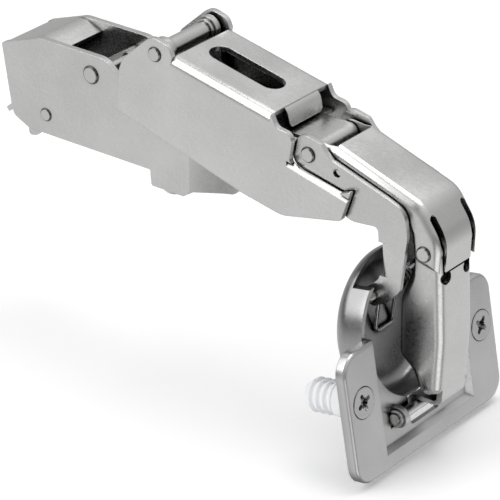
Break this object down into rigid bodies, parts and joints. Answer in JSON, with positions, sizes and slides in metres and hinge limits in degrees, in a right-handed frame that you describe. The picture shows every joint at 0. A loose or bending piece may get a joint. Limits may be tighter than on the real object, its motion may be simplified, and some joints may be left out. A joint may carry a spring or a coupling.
{
  "type": "wide-angle concealed hinge",
  "caption": "Wide-angle concealed cabinet hinge with a folding link arm, a clip-on rear housing and a pressed cup with dowels.",
  "frame": {"origin": "centre of the rear housing's underside seat, where it meets the mounting plate", "axes": "+X along the arm towards the door, +Y along the pins, +Z away from the cabinet side"},
  "size_m": [0.1255, 0.0556, 0.0834],
  "materials": {
    "plated_sheet": "satin nickel-plated pressed steel",
    "bright_pin": "bright plated turned steel",
    "plated_screw": "plated steel, cross recess",
    "spring_wire": "drawn spring wire",
    "white_plastic": "white, slightly translucent"
  },
  "bodies": {
    "rear_housing": {"rear_housing": "plated_sheet", "clip_axle": "bright_pin", "lever_pin": "bright_pin", "latch_bar": "bright_pin", "pivot_sleeve": "bright_pin", "near_pivot_washer": "bright_pin", "far_pivot_washer": "bright_pin", "locating_stud": "bright_pin", "lever_spring": "spring_wire"},
    "release_lever": {"release_lever": "plated_sheet"},
    "depth_cam": {"depth_cam": "plated_screw"},
    "arm": {"arm_channel": "plated_sheet", "arm_pivot_pin": "bright_pin", "inner_carrier": "plated_sheet", "crank_pin": "bright_pin"},
    "side_screw": {"side_screw": "plated_screw"},
    "crank": {"crank_link": "plated_sheet"},
    "cup": {"hinge_cup": "plated_sheet", "upper_cup_pin": "bright_pin", "lower_cup_pin": "bright_pin", "near_pin_ring": "bright_pin", "far_pin_ring": "bright_pin", "closing_spring": "spring_wire", "near_dowel": "white_plastic", "far_dowel": "white_plastic", "near_dowel_screw": "plated_screw", "far_dowel_screw": "plated_screw"},
    "saddle": {"saddle_link": "plated_sheet", "saddle_pin": "bright_pin"},
    "strap": {"strap_link": "plated_sheet"}
  },
  "joints": [
    {"name": "cup_turn", "type": "hinge", "parent": "crank", "child": "cup", "pos_m": [0.08018, 0, -0.01158], "axis": [0, -1, 0], "range_deg": [0, 132]},
    {"name": "crank_turn", "type": "hinge", "parent": "arm", "child": "crank", "pos_m": [0.0623, 0, 0.0172], "axis": [0, -1, 0], "range_deg": [0, 38]},
    {"name": "saddle_turn", "type": "hinge", "parent": "arm", "child": "saddle", "pos_m": [0.0623, 0, 0.0172], "axis": [0, -1, 0], "range_deg": [0, 132.55]},
    {"name": "strap_turn", "type": "hinge", "parent": "saddle", "child": "strap", "pos_m": [0.0925, 0, 0.0017], "axis": [0, -1, 0], "range_deg": [-62.53, 0]},
    {"name": "arm_tilt", "type": "hinge", "parent": "rear_housing", "child": "arm", "pos_m": [0.0206, 0, 0.0304], "axis": [0, -1, 0], "range_deg": [-1.5, 1.5]},
    {"name": "side_screw_turn", "type": "hinge", "parent": "arm", "child": "side_screw", "pos_m": [0.036, 0, 0.015], "axis": [0, 0, -1], "range_deg": [-210, 210]},
    {"name": "depth_cam_turn", "type": "hinge", "parent": "rear_housing", "child": "depth_cam", "pos_m": [-0.0157, 0, 0], "axis": [0, 0, -1], "range_deg": [-90, 90]},
    {"name": "release_lever_turn", "type": "hinge", "parent": "rear_housing", "child": "release_lever", "pos_m": [-0.0145, 0, 0.0049], "axis": [0, 1, 0], "range_deg": [0, 12], "stiffness_Nm_per_rad": 0.02, "springref_deg": -11.46}
  ],
  "couplings": [
    {"joint": "crank_turn", "follows": "cup_turn", "ratio": 0.28788},
    {"joint": "saddle_turn", "follows": "cup_turn", "ratio": 1.0042},
    {"joint": "strap_turn", "follows": "cup_turn", "ratio": -0.4737},
    {"joint": "side_screw_turn", "follows": "arm_tilt", "ratio": 138.2}
  ]
}
